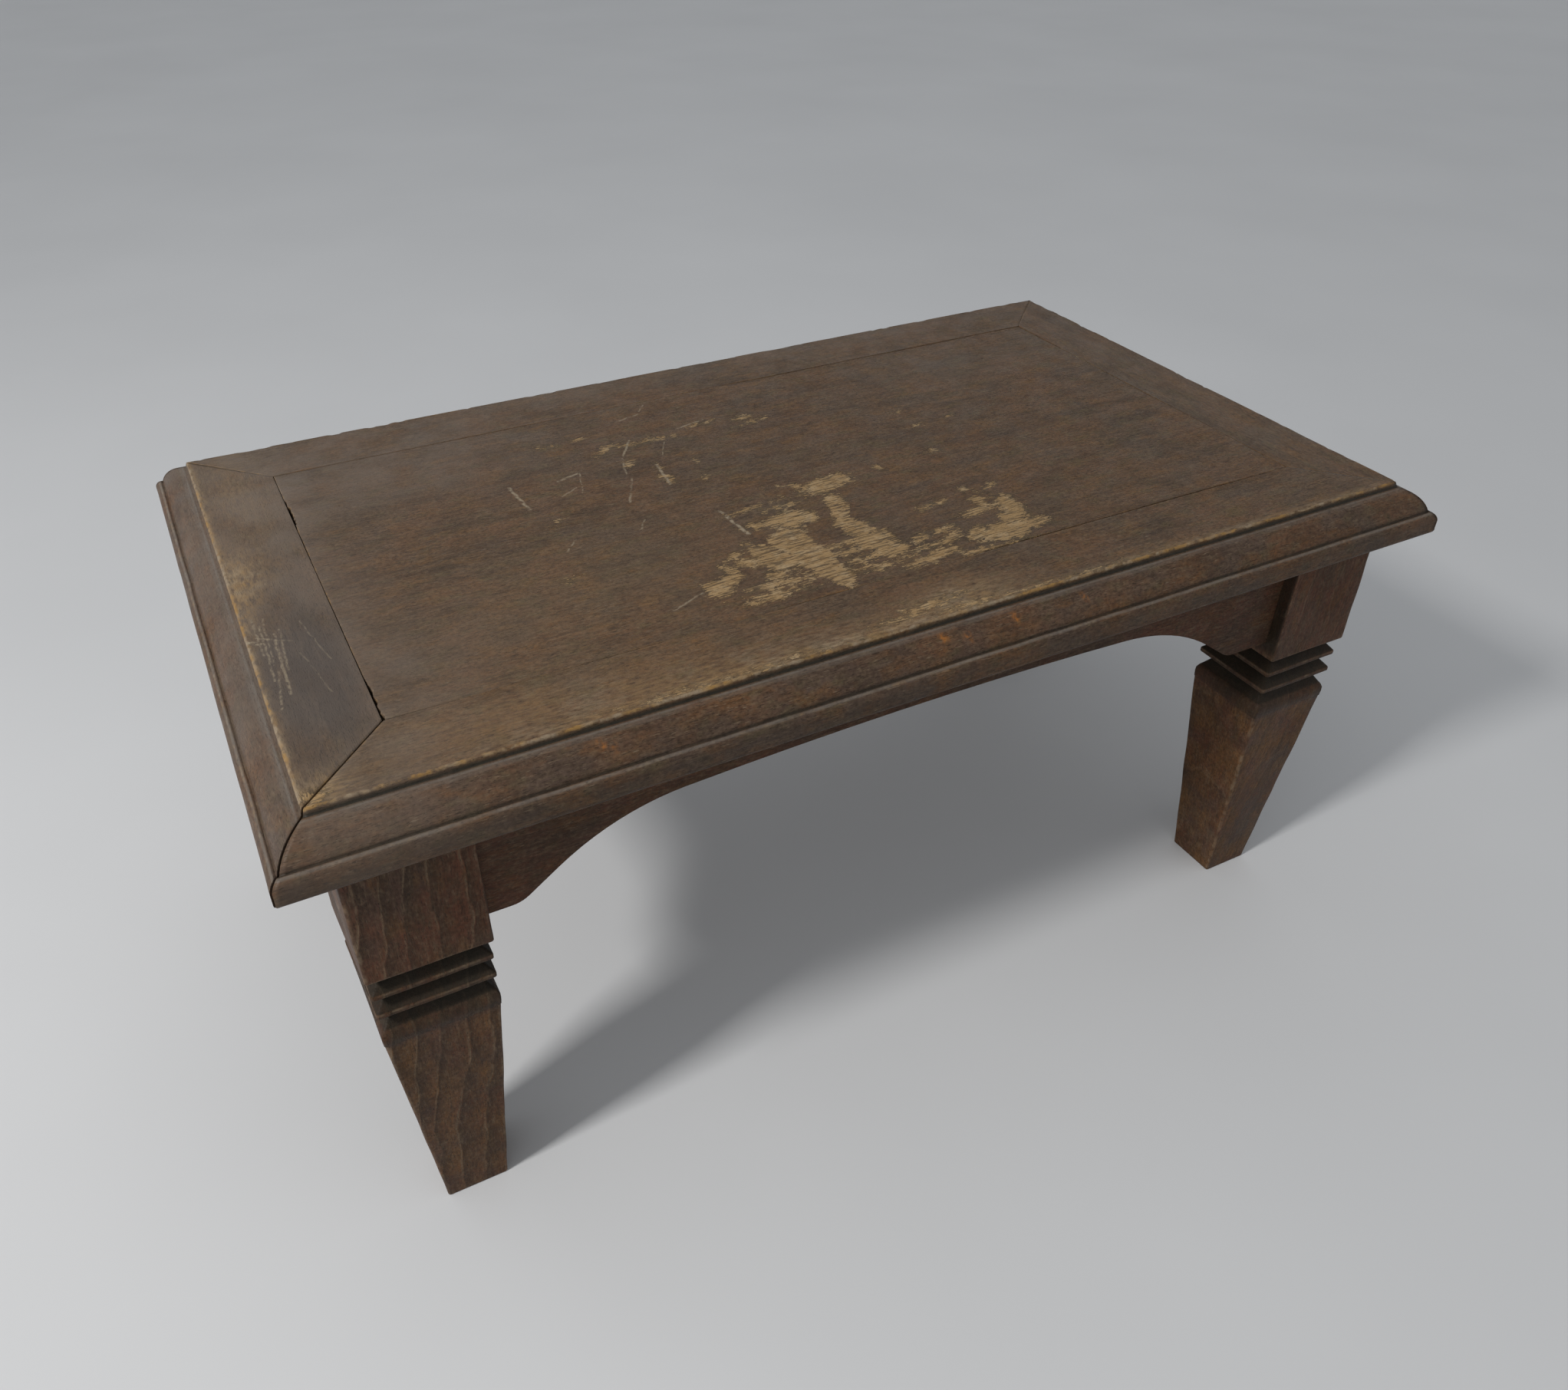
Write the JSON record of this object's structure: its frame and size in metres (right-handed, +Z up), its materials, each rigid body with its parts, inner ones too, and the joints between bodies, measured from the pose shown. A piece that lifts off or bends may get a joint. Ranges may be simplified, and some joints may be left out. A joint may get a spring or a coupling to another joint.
{
  "type": "miniature low table stand",
  "caption": "Low rectangular wooden stand with a framed and mitred moulded top, arched aprons and square tapered legs with undercut rings.",
  "frame": {"origin": "on the floor, under the middle of the top", "axes": "+X along the length to the right seen from the front, +Y towards the back, +Z up"},
  "size_m": [0.4, 0.234, 0.181],
  "materials": {
    "top_wood": "worn dark stain, bare in places, satin to matt",
    "leg_wood": "dark red-brown stain, satin",
    "hidden_wood": "unfinished, darkened with age",
    "screw_steel": "dull, slightly tarnished"
  },
  "bodies": {
    "root": {"top_panel": "top_wood", "front_rail": "top_wood", "rear_rail": "top_wood", "left_rail": "top_wood", "right_rail": "top_wood", "mitre_spline_front_left": "hidden_wood", "mitre_spline_front_right": "hidden_wood", "mitre_spline_rear_left": "hidden_wood", "mitre_spline_rear_right": "hidden_wood", "leg_front_left": "leg_wood", "leg_front_right": "leg_wood", "leg_rear_left": "leg_wood", "leg_rear_right": "leg_wood", "front_apron": "leg_wood", "rear_apron": "leg_wood", "left_apron": "leg_wood", "right_apron": "leg_wood", "glue_block_front": "hidden_wood", "glue_block_rear": "hidden_wood", "glue_block_left": "hidden_wood", "glue_block_right": "hidden_wood", "top_screws": "screw_steel"}
  },
  "joints": []
}
